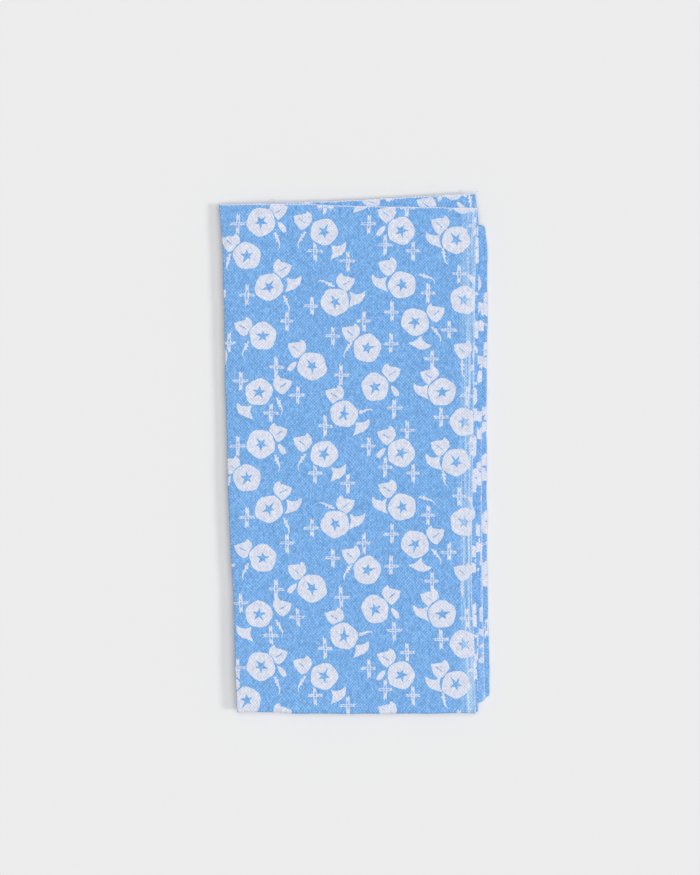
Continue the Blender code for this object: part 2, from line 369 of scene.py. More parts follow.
chart = {
    "flower": (
        (-42.8, 106.5), (-13.8, 101.9), (21.6, 102.4), (46.9, 98.2), (-49.2, 90.9),
        (-39.1, 76.6), (-8.7, 69.7), (22.1, 77.5), (28.1, 60.5), (50.6, 70.6),
        (-41.9, 54.1), (-19.3, 40.2), (6.0, 48.5), (9.7, 30.6), (40.5, 28.3),
        (-43.7, 28.3), (-4.6, 18.2), (50.6, 14.5), (60.7, 44.4),
    ),
    "leaf": (
        (-35.0, 111.6), (-23.5, 107.0), (15.2, 110.2), (39.6, 105.1), (-56.6, 96.8),
        (-33.1, 84.9), (-4.1, 78.4), (15.6, 85.8), (37.3, 64.6), (-50.6, 58.2),
        (-26.2, 48.1), (-1.4, 55.4), (17.0, 37.0), (35.0, 35.6), (-33.1, 31.5),
        (-8.7, 26.9), (50.1, 47.6), (62.1, 72.5),
    ),
    "calyx": (
        (-7.4, 93.2), (36.8, 98.2), (-28.1, 78.0), (0.9, 71.1), (12.0, 78.4),
        (30.4, 50.4, -45), (31.3, 28.8), (-50.1, 19.6), (3.2, 12.2),
    ),
    "bud": ((-33.1, 104.2), (12.4, 102.4), (54.3, 80.3), (-28.5, 40.2), (18.9, 28.8)),
    "stalk": (
        (-35.0, 98.2, -58), (-24.4, 98.7, -129), (41.4, 90.9, -90), (-58.0, 88.1, -110),
        (-30.8, 69.2, -58), (-12.4, 78.4, 150), (33.6, 81.2, -8), (38.2, 55.4, -43),
        (-50.1, 48.5, -124), (-3.2, 48.1, -132), (-34.0, 22.3, -55), (4.6, 19.6, 25),
        (49.7, 39.3, -95),
    ),
    "spark": (
        (-53.4, 105.6), (-17.9, 93.2), (-2.8, 88.5), (6.9, 105.6), (14.3, 95.9),
        (27.1, 93.2), (24.4, 112.9), (-13.3, 114.8), (34.0, 73.8), (48.3, 82.6),
        (-49.2, 72.9), (-30.8, 61.0), (-19.3, 67.9), (4.6, 61.0), (-9.7, 54.1),
        (17.5, 65.1), (43.7, 56.8), (17.0, 50.4), (-35.9, 39.8), (-52.0, 33.4),
        (-6.0, 36.1), (35.9, 43.5), (-57.5, 50.8), (55.7, 104.7), (-25.8, 26.9),
        (-38.2, 18.6), (18.4, 20.9), (52.0, 26.5), (40.0, 16.8),
    ),
}

# What shows of the middle ply past the slanting raw end
underChart = {
    "flower": ((45.2, 123.4),),
    "leaf": ((32.4, 114.4), (7.7, 116.2)),
    "calyx": (),
    "bud": ((47.9, 113.4), (16.4, 118.4), (-22.2, 116.2)),
    "stalk": ((52.4, 116.2, -88),),
    "spark": (),
}

# Stretches of the lower layers' right edges that show plain ground, on the flat cloth:
# u and v from, to. Then the few motifs that show there: kind, u, v, turn.
plainEdges = (
    (214.0, 232.0, 286.0, 296.0),
    (214.0, 232.0, 444.0, 449.0),
    (214.0, 232.0, 464.0, 474.0),
    (-8.0, 0.0, 476.0, 481.0),
    (214.0, 232.0, 648.0, 682.0),
    (-8.0, 8.0, 650.0, 682.0),
)
edgeChart = (
    ("flower", -4.3, 477.4, 0.0),
    ("leaf", 0.6, 638.6, 20.0),
    ("spark", 220.6, 646.2, 0.0),
    ("spark", -1.6, 657.2, 0.0),
)

motif = {
    "repeatAcross": 125.1,
    "repeatAlong": 102.1,
    "flowerRadius": 6.45,
    "lobe": 0.036,  # how far the five petals bulge
    "starRadius": 3.2,
    "starWaist": 0.4,
    "moat": 0.5,  # blue line kept between a flower and what grows beside it
    "edge": 0.12,  # half the width of a dyed edge
    "fineEdge": 0.08,
    "sparkHigh": (4.9, 0.84),  # an upright arm's length and half its width
    "sparkWide": (3.8, 0.66),
    "sparkEye": (0.46, 0.55),
    "budLean": (0.58, -0.81),  # buds hang away from their flower: across, along
    "sway": 0.12,  # motifs stand this near to upright, in radians
    "petalSteps": 30,
    "veinGuard": 0.5,  # white kept round a leaf's vein
    "veinDye": 0.1,  # nearly the ground's
    "coreDye": 0.15,  # the same along a sparkle's arms
    "margins": (0.06, 0.04, 0.03),  # from the edges: inner outlines, guards, outer ones
    "sliver": 0.3,  # what shows less than this at an edge is left out
    "blend": 40.0,  # past the upper layer the chart goes over into the even repeat
    "before": 12.0,  # rows this far before the raw end aren't fitted to it
    "spare": 7.0,  # motifs are kept to this far past the cloth's edges
    "underEnd": (8.0, 6.0, 9.0),  # where underChart holds: past each fold, and along
    "chartDraw": 100,  # first numbers of the charts' random draws
    "underDraw": 900,
    "edgeDraw": 950,
}

# Outlines of the smaller motifs that grow to the right of their flower: x, y
leafOutline = (
    (-1.6, 4.6), (-0.9, 3.2), (1.5, 2.9), (4.4, 2.1), (3.8, -0.6), (2.2, -2.9), (0.5, -4.3),
    (-1.4, -3.6), (-3.1, -1.8), (-4.2, 0.3), (-3.8, 2.6), (-2.9, 3.7),
)
leafVein = ((-0.8, -1.0), (1.8, 0.9))
calyxOutline = (
    (-3.2, 3.0), (-0.6, 2.0), (1.8, 2.4), (3.8, 3.9), (3.9, 1.9), (3.1, -0.4),
    (1.4, -2.0), (-0.9, -2.9), (-3.7, -3.9), (-2.7, -1.6), (-2.4, 0.3), (-2.7, 1.6),
)
budOutline = (
    (0.2, -3.0), (0.9, -2.1), (1.25, -0.4), (1.3, 1.2), (0.9, 2.7), (0.35, 2.3), (-0.2, 3.0),
    (-0.9, 2.2), (-1.25, 0.9), (-1.1, -0.7), (-0.6, -2.1),
)
# The curled stalk: middle line x, y, and half its width
stalk = (
    (-0.1, -3.9, 0.25), (-0.6, -3.2, 0.6), (-0.1, -2.6, 0.3), (-0.6, -1.9, 0.85), (0.1, -1.3, 0.9),
    (-0.3, -0.6, 0.4), (0.3, 0.1, 0.8), (0.0, 0.8, 0.36), (0.2, 1.7, 0.4), (0.5, 2.6, 0.28),
    (1.1, 3.4, 0.26), (1.9, 3.9, 0.16),
)


def turned(points, angle):
    c, s = math.cos(angle), math.sin(angle)
    return [(x * c - y * s, x * s + y * c) for x, y in points]


def flowerShapes(rng):
    phase = rng.uniform(0, tau)
    ovalAt = rng.uniform(0, tau)
    oval = rng.uniform(0.01, 0.035)
    size = rng.uniform(0.95, 1.02)
    petals = []
    for step in range(motif["petalSteps"]):
        angle = tau * step / motif["petalSteps"]
        radius = 1 + motif["lobe"] * math.cos(5 * (angle - phase))
        radius += oval * math.cos(2 * (angle - ovalAt)) + rng.uniform(-0.014, 0.014)
        radius *= motif["flowerRadius"] * size
        petals.append((radius * math.cos(angle), radius * math.sin(angle)))
    star = []
    longArm = rng.randrange(5)
    for step in range(10):
        angle = phase + tau * step / 10 + rng.uniform(-0.12, 0.12)
        radius = motif["starRadius"] * (motif["starWaist"] if step % 2 else rng.uniform(0.78, 1.15))
        radius *= 1.25 if step == 2 * longArm else 1.0
        star.append((radius * math.cos(angle), radius * math.sin(angle)))
    return [("white", petals), ("blue", star)]


def stalkShapes(rng):
    bow = rng.uniform(0.7, 1.3)
    left = [(bow * x - wide, y + 0.25 * wide) for x, y, wide in stalk]
    right = [(bow * x + wide, y) for x, y, wide in stalk]
    return [("thin", left + right[::-1])]


def sparkShapes(rng):
    outline = []
    cores = []
    for quarterTurn in range(4):
        upright = quarterTurn % 2 == 1
        long, half = motif["sparkHigh" if upright else "sparkWide"]
        crossing = motif["sparkWide" if upright else "sparkHigh"][1]
        long *= rng.uniform(0.84, 1.1)
        side = [(long * 0.45, -half * 0.9), (long * 0.84, -half), (long, -half * 0.5)]
        side += [(long * 0.76, 0.05), (long * 0.93, half * 0.8), (long * 0.5, half * 0.9)]
        if rng.random() < 0.5:
            side = [(x, -y) for x, y in side[::-1]]
        outline += turned([(crossing, -half)] + side, tau * quarterTurn / 4)
        coreEnd = long * (0.34 if upright else 0.66)
        cores.append(("core", turned([(0.75, 0.0), (coreEnd, 0.0)], tau * quarterTurn / 4)))
    eyeX, eyeY = motif["sparkEye"]
    eye = [(eyeX, 0.0), (0.0, eyeY), (-eyeX, 0.0), (0.0, -eyeY)]
    return [("white", outline)] + cores + [("blue", eye)]


plainShapes = {
    "leaf": (("white", leafOutline), ("vein", leafVein)),
    "calyx": (("white", calyxOutline),),
    "bud": (("white", budOutline),),
}
reachOf = {"flower": 6.9, "leaf": 5.6, "calyx": 5.8, "bud": 3.6, "stalk": 5.0, "spark": 5.6}


def motifShapes(kind, rng, flip):
    # A motif's outlines with their colours; what grows beside a flower faces either way
    if kind == "flower":
        return flowerShapes(rng)
    if kind == "spark":
        return sparkShapes(rng)
    shapes = stalkShapes(rng) if kind == "stalk" else plainShapes[kind]
    return [(colour, [(x * flip, y) for x, y in points]) for colour, points in shapes]


def chartPlace(across, along):
    # Where a place seen on the upper face lies in the flat cloth
    upper = rawLine(0, across)
    lower = turnLine(0, across) + turnReach
    share = (along - upper) / (lower - upper)
    selvage = float(layerSides(0, np.array([min(max(share, 0.0), 1.0)]))[1][0])
    return selvage - across, share * layerRuns[0]


def printPlaces():
    # Every motif of the whole cloth: kind, u, v, turn in degrees, number of its draw
    top = rawEnd[0][1][1]
    guide = sideFolds[0][3][2]  # the selvage that the chart is counted from
    first, second = (float(k[0]) for k in foldPlaces(np.array([0.0])))
    pastFirst, pastSecond, pastEnd = motif["underEnd"]
    placed = []
    alongCount = int(cloth["length"] / motif["repeatAlong"]) + 3
    for kind, spots in chart.items():
        for number, (across, along, *turn) in enumerate(spots):
            for column in range(-1, 4):
                for row in range(-1, alongCount):
                    x = across - column * motif["repeatAcross"]
                    y = along - row * motif["repeatAlong"]
                    u, v = guide - x, top - y
                    fade = 1.0 - float(ease(v, layerRuns[0], layerRuns[0] + motif["blend"]))
                    if fade > 0 and v > -motif["before"]:
                        seenU, seenV = chartPlace(x, y)
                        u += (seenU - u) * fade
                        v += (seenV - v) * fade
                    past = max(-u, u - cloth["width"], -v, v - cloth["length"])
                    underEnd = first + pastFirst < u < second + pastSecond
                    underEnd = underEnd and v < reachOf[kind] + pastEnd
                    plain = any(a < u < b and c < v < d for a, b, c, d in plainEdges)
                    if past < motif["spare"] and not underEnd and not plain:
                        # The same motif looks the same in each repeat
                        draw = motif["chartDraw"] * len(kind) + number
                        placed.append((kind, u, v, sum(turn), draw))
    left = sideFolds[0][0][1] + sideReach
    for kind, spots in underChart.items():
        for number, (across, along, *turn) in enumerate(spots):
            u, v = first + quarter + across - left, rawLine(1, across) - along
            placed.append((kind, u, v, sum(turn), motif["underDraw"] + number))
    for number, (kind, u, v, turn) in enumerate(edgeChart):
        placed.append((kind, u, v, turn, motif["edgeDraw"] + number))
    return placed


def nearFlowers(u, v, flowers):
    gap = np.hypot(flowers[:, 0] - u, flowers[:, 1] - v)
    order = np.argsort(gap)[:3]
    return flowers[order]


# How far past what can be seen the print goes on
shown = {
    "outer": 5.0,
    "turn": 8.0,
    "tucked": 13.0,
    "sideFold": 6.0,
    "selvage": 4.0,
    "rawEnd": 13.0,
}


def wanted(kind, u, v, side):
    # Print is drawn where it can be seen: on the outer faces and along every fold
    reach = reachOf[kind]
    at = np.array([min(max(v, 0.0), cloth["length"])])
    first, second = (float(k[0]) for k in foldPlaces(at))
    left, right, upper, lower = u - reach, u + reach, v - reach, v + reach
    if side > 0:
        outer = left < first + shown["outer"]
        outer = outer and (upper < breaks[2] + shown["turn"] or lower > breaks[5] - shown["turn"])
        tuckedEdge = upper < breaks[1] and left < first + shown["tucked"]
        leftFold = abs(u - first) < reach + shown["sideFold"]
        return outer or tuckedEdge or leftFold or left < shown["selvage"]
    rightFold = abs(u - second) < reach + shown["sideFold"]
    rawEdge = upper < shown["rawEnd"] and right > first
    upperTurn = breaks[3] - shown["turn"] < lower and upper < breaks[4] + shown["turn"]
    return rightFold or rawEdge or (upperTurn and right > second)


def pushOut(points, flowers):
    # Leaves and stalks stop short of a flower, with a thin line of ground between
    out = []
    clear = motif["flowerRadius"] + motif["moat"]
    for u, v in points:
        for fu, fv in flowers:
            gap = math.hypot(u - fu, v - fv)
            if gap < clear:
                u = fu + (u - fu) * clear / max(gap, 0.01)
                v = fv + (v - fv) * clear / max(gap, 0.01)
        out.append((u, v))
    return out


def unit(steps):
    return steps / np.maximum(np.hypot(*steps.T), 1e-6)[:, None]


def ringNormals(points):
    # Outward directions at the corners of a closed outline, whichever way it runs
    pts = np.array(points)
    after = np.roll(pts, -1, axis=0) - pts
    flow = unit(unit(np.roll(after, 1, axis=0)) + unit(after))
    area = np.sum(pts[:, 0] * np.roll(pts[:, 1], -1) - np.roll(pts[:, 0], -1) * pts[:, 1])
    normal = np.stack((flow[:, 1], -flow[:, 0]), axis=1)
    return normal if area > 0 else -normal


# Loose yarns at the raw end: where along the cloth's width they start, then steps from
# there across, along and up, in millimetres
looseYarns = (
    (95.6, ((-0.5, 1.3, 0.2), (0.4, 2.3, 0.3), (1.9, 2.2, 0.1), (2.9, 0.9, -0.1))),
    (93.0, ((0.1, 0.7, 0.1), (0.5, 1.3, 0.0), (1.4, 1.5, -0.1))),
    (88.2, ((0.0, 0.6, 0.0), (-0.3, 1.2, -0.2))),
    (230.4, ((0.0, 0.9, 0.1), (-0.4, 1.7, -0.3), (-1.2, 2.0, -0.9))),
    (236.3, ((0.4, 0.6, 0.0), (1.2, 1.0, -0.4), (2.1, 0.8, -1.2))),
    (224.6, ((0.0, 0.5, 0.0), (0.2, 1.1, -0.3))),
    (1.2, ((0.5, 0.5, 0.0), (1.0, 0.4, -0.5), (1.3, -0.4, -1.2))),
    (55.0, ((0.1, 0.5, 0.0), (0.4, 0.8, -0.1))),
    (31.4, ((0.0, 0.4, 0.1), (-0.4, 0.8, 0.0))),
)

looseYarn = {
    "radius": 0.11,
    "sides": 5,
    "root": 0.15,  # the yarn leaves the cloth this far inside the raw end
    "sunk": 0.3,  # and begins this much further in
    "colourAt": 0.2,  # along the flat cloth, whose colour there the whole yarn takes
}


def yarnTubes():
    # Thin closed tubes: places, faces, and where on the flat cloth each place belongs
    radius, sides = looseYarn["radius"], looseYarn["sides"]
    places, faces, flats = [], [], []
    for u, steps in looseYarns:
        root = np.array(foldCloth([u], [looseYarn["root"]], 0.0)).ravel()
        line = [root - (0, looseYarn["sunk"], 0), root] + [root + step for step in steps]
        first = len(places)
        for number, spot in enumerate(line):
            ahead = line[min(number + 1, len(line) - 1)] - line[max(number - 1, 0)]
            ahead = ahead / np.linalg.norm(ahead)
            right = np.cross(ahead, (0.0, 0.0, 1.0))
            right = right / max(np.linalg.norm(right), 1e-6)
            up = np.cross(right, ahead)
            for k in range(sides):
                angle = tau * k / sides
                places.append(spot + radius * (math.cos(angle) * right + math.sin(angle) * up))
                flats.append((u, looseYarn["colourAt"]))
        for number in range(len(line) - 1):
            for k in range(sides):
                a, b = first + number * sides + k, first + number * sides + (k + 1) % sides
                faces.append((a, b, b + sides, a + sides))
        faces.append(tuple(first + k for k in range(sides))[::-1])
        faces.append(tuple(len(places) - sides + k for k in range(sides)))
    return np.array(places), faces, np.array(flats)


class Plan:
    # Points, edges and dye of one skin of the flat cloth
    def __init__(self):
        self.points = []
        self.dye = []
        self.edges = []
        self.shapes = []
        self.rim = []

    def add(self, u, v, dye=None):
        self.points.append((u, v))
        self.dye.append(dye)
        return len(self.points) - 1

    def chain(self, points, dye=None, closed=False):
        numbers = [self.add(u, v, dye) for u, v in points]
        self.edges += list(zip(numbers, numbers[1:]))
        if closed:
            self.edges.append((numbers[-1], numbers[0]))
        return numbers


def keepInside(points, margin):
    start = cloth["endMargin"] + margin
    width, length = cloth["width"] - start, cloth["length"] - margin
    return [(min(max(u, margin), width), min(max(v, start), length)) for u, v in points]


def stampMotif(plan, kind, u, v, turn, flowers, rng):
    near = nearFlowers(u, v, flowers)
    flip = 1 if u < near[0][0] else -1  # right or left of its flower, on the upper face
    angle = math.radians(turn)
    if kind == "stalk":
        angle -= math.pi / 2
    elif kind == "bud":
        over, down = motif["budLean"]
        angle = math.atan2(down, flip * over) - math.pi / 2
    if kind in ("leaf", "calyx", "bud"):
        angle += rng.uniform(-motif["sway"], motif["sway"])
    inMargin, guardMargin, outMargin = motif["margins"]
    for colour, points in motifShapes(kind, rng, flip):
        points = [(u - x, v - y) for x, y in turned(points, angle)]
        if kind != "flower":
            points = pushOut(points, near)
        low, high = np.min(points, axis=0), np.max(points, axis=0)
        far = np.array((cloth["width"], cloth["length"])) - motif["sliver"]
        if min(high) < motif["sliver"] or np.any(low > far):
            continue
        if colour == "vein":
            (au, av), (bu, bv) = points
            long, wide = max(math.hypot(bu - au, bv - av), 0.01), motif["veinGuard"]
            du, dv = wide * (bu - au) / long, wide * (bv - av) / long
            guard = [(au - du, av - dv), (au + dv, av - du), (bu + dv, bv - du)]
            guard += [(bu + du, bv + dv), (bu - dv, bv + du), (au - dv, av + du)]
            plan.chain(keepInside(guard, guardMargin), 1.0, closed=True)
            plan.chain(keepInside(points, inMargin), motif["veinDye"])
        elif colour == "core":
            plan.chain(keepInside(points, inMargin), motif["coreDye"])
        else:
            normals = ringNormals(points)
            # A white outline's outer side is ground, unless it runs inside another motif
            inner, outer = (0.0, 1.0) if colour == "blue" else (1.0, None)
            edge = motif["fineEdge"] if colour == "thin" else motif["edge"]
            for step, margin, dye in ((-edge, inMargin, inner), (edge, outMargin, outer)):
                line = [(p[0] + n[0] * step, p[1] + n[1] * step) for p, n in zip(points, normals)]
                plan.chain(keepInside(line, margin), dye, closed=True)
            plan.shapes.append((0.0 if colour == "blue" else 1.0, np.array(points)))


def gridLines():
    # Plain points of the cloth, finer on the upper face, with the lines of every bend
    vLines = list(np.linspace(0, breaks[1], int(breaks[1] / cloth["fineGrid"])))
    for run in range(1, 7):
        if run % 2:
            vLines += list(np.linspace(breaks[run], breaks[run + 1], cloth["turnSteps"])[1:-1])
        else:
            steps = int(runs[run] / cloth["grid"])
            vLines += list(np.linspace(breaks[run], breaks[run + 1], steps))
    return np.array(vLines)


def basePlan():
    plan = Plan()
    vLines = gridLines()
    width, length = cloth["width"], cloth["length"]
    first, second = foldPlaces(vLines)
    bendSteps = np.linspace(-quarter, quarter, cloth["foldSteps"])
    grid, reach = cloth["grid"], cloth["cornerReach"]

    def endPoints(plain, left, right, clear):
        # Points of a raw end: those of its two bends, and plain ones clear of the bends
        away = [u for u in plain if min(abs(u - left), abs(u - right)) > clear]
        return sorted([*away, *(left + bendSteps), *(right + bendSteps)])

    # The rim: both selvages and both raw ends, whose points the two skins share
    startEnd = endPoints(rimSteps, first[0], second[0], quarter + cloth["rimClear"])
    farEnd = [0.0, *np.arange(grid, width - grid / 2, grid), width]
    farEnd = endPoints(farEnd, first[-1], second[-1], cloth["farClear"])
    rim = [(u, 0.0) for u in startEnd] + [(width, v) for v in vLines[1:-1]]
    rim += [(u, length) for u in farEnd[::-1]] + [(0.0, v) for v in vLines[1:-1][::-1]]
    plan.rim = plan.chain(rim, closed=True)

    # The two side folds run the whole length
    for middle in (first, second):
        for step in bendSteps:
            line = list(zip(middle + step, vLines))
            near = int(np.argmin([abs(u - line[0][0]) for u in startEnd]))
            far = int(np.argmin([abs(u - line[-1][0]) for u in farEnd[::-1]]))
            numbers = [plan.rim[near]] + [plan.add(u, v) for u, v in line[1:-1]]
            numbers.append(plan.rim[len(startEnd) + len(vLines) - 2 + far])
            plan.edges += list(zip(numbers, numbers[1:]))

    # Inner points, and the lines of the turns
    for number, v in enumerate(vLines[1:-1], 1):
        fine = v < breaks[1] + 1
        step = cloth["fineGrid"] if fine else grid
        turning = bool(stations(np.array([v]))[3][0]) or np.min(np.abs(breaks[1:7] - v)) < 0.01
        left, right = first[number], second[number]
        spots = np.arange(step, width - step / 2, step)
        if turning:  # the turns slope most at the right edge
            close = np.arange(cloth["cornerGrid"], reach, cloth["cornerGrid"])
            spots = spots[(spots >= reach) & (np.abs(spots - right) >= reach)]
            spots = np.concatenate((spots, close, right - close, right + close))
        elif fine:  # every other point is enough under the upper ply
            spots = spots[(spots < left + 8) | (np.arange(len(spots)) % 2 == 1)]
        row = []
        for u in np.sort(spots):
            if min(abs(u - left), abs(u - right)) > cloth["foldClear"]:
                row.append(plan.add(u, v))
        if turning:
            ends = [k for k in plan.rim if plan.points[k][1] == v]
            ends.sort(key=lambda k: plan.points[k][0])
            row = [ends[0]] + row + [ends[-1]]
            plan.edges += list(zip(row, row[1:]))
    return plan


def insideShapes(plan, places):
    # Dye of points that no outline gives: white in a motif, blue in its star
    dye = np.zeros(len(places))
    for value, shape in sorted(plan.shapes, key=lambda entry: -entry[0]):
        low, high = shape.min(axis=0), shape.max(axis=0)
        near = np.where(np.all((places > low) & (places < high), axis=1))[0]
        u, v = places[near].T
        hit = np.zeros(len(near), bool)
        for a, b in zip(shape, np.roll(shape, -1, axis=0)):
            crosses = (a[1] > v) != (b[1] > v)
            hit ^= crosses & (u < a[0] + (v - a[1]) * (b[0] - a[0]) / (b[1] - a[1] + 1e-12))
        dye[near[hit]] = value
    return dye


def skinMesh(side, placed, flowers):
    plan = basePlan()
    for kind, u, v, turn, draw in placed:
        if wanted(kind, u, v, side):
            stampMotif(plan, kind, u, v, turn, flowers, random.Random(draw))
    result = delaunay_2d_cdt(plan.points, plan.edges, [], 0, cloth["merge"], True)
    places, triangles = np.array(result[0]), np.array(result[2])
    dye = np.full(len(places), np.nan)
    home = {}
    for number, origins in enumerate(result[3]):
        known = [plan.dye[k] for k in origins if plan.dye[k] is not None]
        if known:
            dye[number] = max(known)
        for k in origins:
            home[k] = number
    loose = np.isnan(dye)
    dye[loose] = insideShapes(plan, places[loose])
    rim = [home[k] for k in plan.rim]
    print("skin", "A" if side > 0 else "B", len(places), "points", len(triangles), "triangles")
    return places, triangles, dye, rim


def buildCloth():
    # The two skins, joined along the rim, and the loose yarns, in one mesh
    placed = printPlaces()
    flowers = np.array([(u, v) for kind, u, v, *_ in placed if kind == "flower"])
    print("print laid out,", len(placed), "motifs")
    spots, faces, flats, dyes, rims = [], [], [], [], []
    count = 0
    for side, order in ((0.5, 1), (-0.5, -1)):  # the second skin looks the other way
        flat, triangles, dye, rim = skinMesh(side, placed, flowers)
        spots.append(np.stack(foldCloth(*flat.T, side), axis=1))
        faces += [tuple(k + count for k in corners[::order]) for corners in triangles]
        flats.append(flat)
        dyes.append(dye)
        rims.append([k + count for k in rim])
        count += len(flat)
    rim, other = rims
    for a, b, c, d in zip(rim, rim[1:] + rim[:1], other[1:] + other[:1], other):
        faces.append((b, a, d, c))

    yarnSpots, yarnFaces, yarnFlats = yarnTubes()
    faces += [tuple(k + count for k in face) for face in yarnFaces]

    mesh = bpy.data.meshes.new("towelCloth")
    mesh.from_pydata(np.concatenate((*spots, yarnSpots)) * mm, [], faces)
    flat = np.concatenate((*flats, yarnFlats)) * mm
    dyes = np.concatenate((*dyes, np.zeros(len(yarnSpots))))
    corners = np.zeros(len(mesh.loops), int)
    mesh.loops.foreach_get("vertex_index", corners)
    uv = mesh.uv_layers.new(name="flatCloth")
    uv.data.foreach_set("uv", flat[corners].ravel())
    attribute = mesh.attributes.new("dye", "FLOAT", "POINT")
    attribute.data.foreach_set("value", dyes)
    mesh.shade_smooth()
    mesh.set_sharp_from_angle(angle=math.radians(cloth["sharpAngle"]))
    piece = bpy.data.objects.new("towelCloth", mesh)
    bpy.context.collection.objects.link(piece)
    print("cloth built,", len(mesh.polygons), "faces")
    return piece


# Finishes; lengths are in metres here

finish = {
    "surface": {
        "Roughness": 0.92,
        "Specular IOR Level": 0.25,
        "Sheen Weight": 0.12,
        "Sheen Roughness": 0.5,
    },
    "groundYarns": ((0.142, 0.355, 0.725), (0.266, 0.512, 0.872)),  # darkest, lightest
    "groundMean": (0.185, 0.42, 0.80),
    "bareYarns": ((0.622, 0.658, 0.80), (0.765, 0.80, 0.905)),
    "streakColour": (0.60, 0.76, 0.93),
    "frayedColour": (0.74, 0.79, 0.92),
    "thread": 0.00073,  # spacing of the yarns
    "warpCloser": 0.96,  # the warp yarns lie closer than that, and the weft yarns wider
    "wander": (160.0, 0.0014),  # the yarns wander a little: scale, distance
    "tones": (0.93, 5.7),  # scale of the yarns' tones, and the step from yarn to yarn
    "warpTones": (0.42, 3.0),  # how soon they change along a yarn, and where they start
    "weftTones": (0.85, 11.0),
    "toneSpan": (0.36, 0.64),  # noise keeps near its middle; this opens it up
    "warpThrough": 0.4,  # so much of the warp's tone shows where the weft lies on top
    "fleckPace": 0.75,  # below 1, a fleck is longer than the crossing it is on
    "drift": (60.0, 0.3),  # the ground's larger unevenness: scale, strength
    "ragged": 0.3,  # how far the print's edge follows the yarns
    "edge": (0.3, 0.7),  # from ground to bare cloth
    "streaks": (950.0, 20.0, 1.0),  # their fineness across, along
    "streakSpan": (0.38, 0.66),
    "streakReach": (0.0072, 0.0030),  # from the free selvage: where they begin, are full
    "streakFade": (0.60, 0.65),  # along the cloth: where they turn fainter
    "streakStrength": (0.92, 0.25),  # before and after that
    "cutEnd": (0.0007, 0.0002, 0.8),  # where the lighter ends begin, are full, strength
    "loops": (0.0006, 0.0001, 0.5),
    "paintedTopLight": 1.4,  # painted light: how much lighter a yarn is where it lies on top
    "shade": (0.58, 1.25),  # painted shade between the yarns, and painted light on them
    "grain": 0.12,  # how far the brightness changes from fleck to fleck
    "calm": (0.38, 0.95),  # painted shade is weaker on undyed yarns: share, and towards what
    "bump": (0.6, 0.00009),  # strength, distance
}


class Wiring:
    # Nodes of one shader tree. A value is a number, a colour or another node's output.
    def __init__(self, tree):
        self.tree = tree

    def feed(self, sockets, values):
        for socket, value in zip(sockets, values):
            if isinstance(value, bpy.types.NodeSocket):
                self.tree.links.new(value, socket)
            elif socket.type == "RGBA":
                socket.default_value = (*value, 1.0)
            else:
                socket.default_value = value

    def add(self, kind, sockets=(), values=(), **settings):
        node = self.tree.nodes.new("ShaderNode" + kind)
        for name, setting in settings.items():
            setattr(node, name, setting)
        self.feed([node.inputs[socket] for socket in sockets], values)
        return node.outputs

    def math(self, kind, *values):
        return self.add("Math", range(len(values)), values, operation=kind)[0]

    def times(self, a, b):
        return self.math("MULTIPLY", a, b)

    def vector(self, kind, *values):
        return self.add("VectorMath", range(len(values)), values, operation=kind)[0]

    def combine(self, *values):
        return self.add("CombineXYZ", range(len(values)), values)[0]

    def split(self, vector):
        return self.add("SeparateXYZ", (0,), (vector,))[:2]

    def noise(self, vector, scale, detail, output="Fac"):
        sockets = ("Vector", "Scale", "Detail")
        return self.add("TexNoise", sockets, (vector, scale, detail))[output]

    def remap(self, value, span, result=(0.0, 1.0)):
        return self.add("MapRange", range(5), (value, *span, *result))[0]

    def mix(self, share, a, b):
        return self.add("Mix", (0, 2, 3), (share, a, b))[0]

    def mixColour(self, share, a, b):
        return self.add("Mix", (0, 6, 7), (share, a, b), data_type="RGBA")[2]


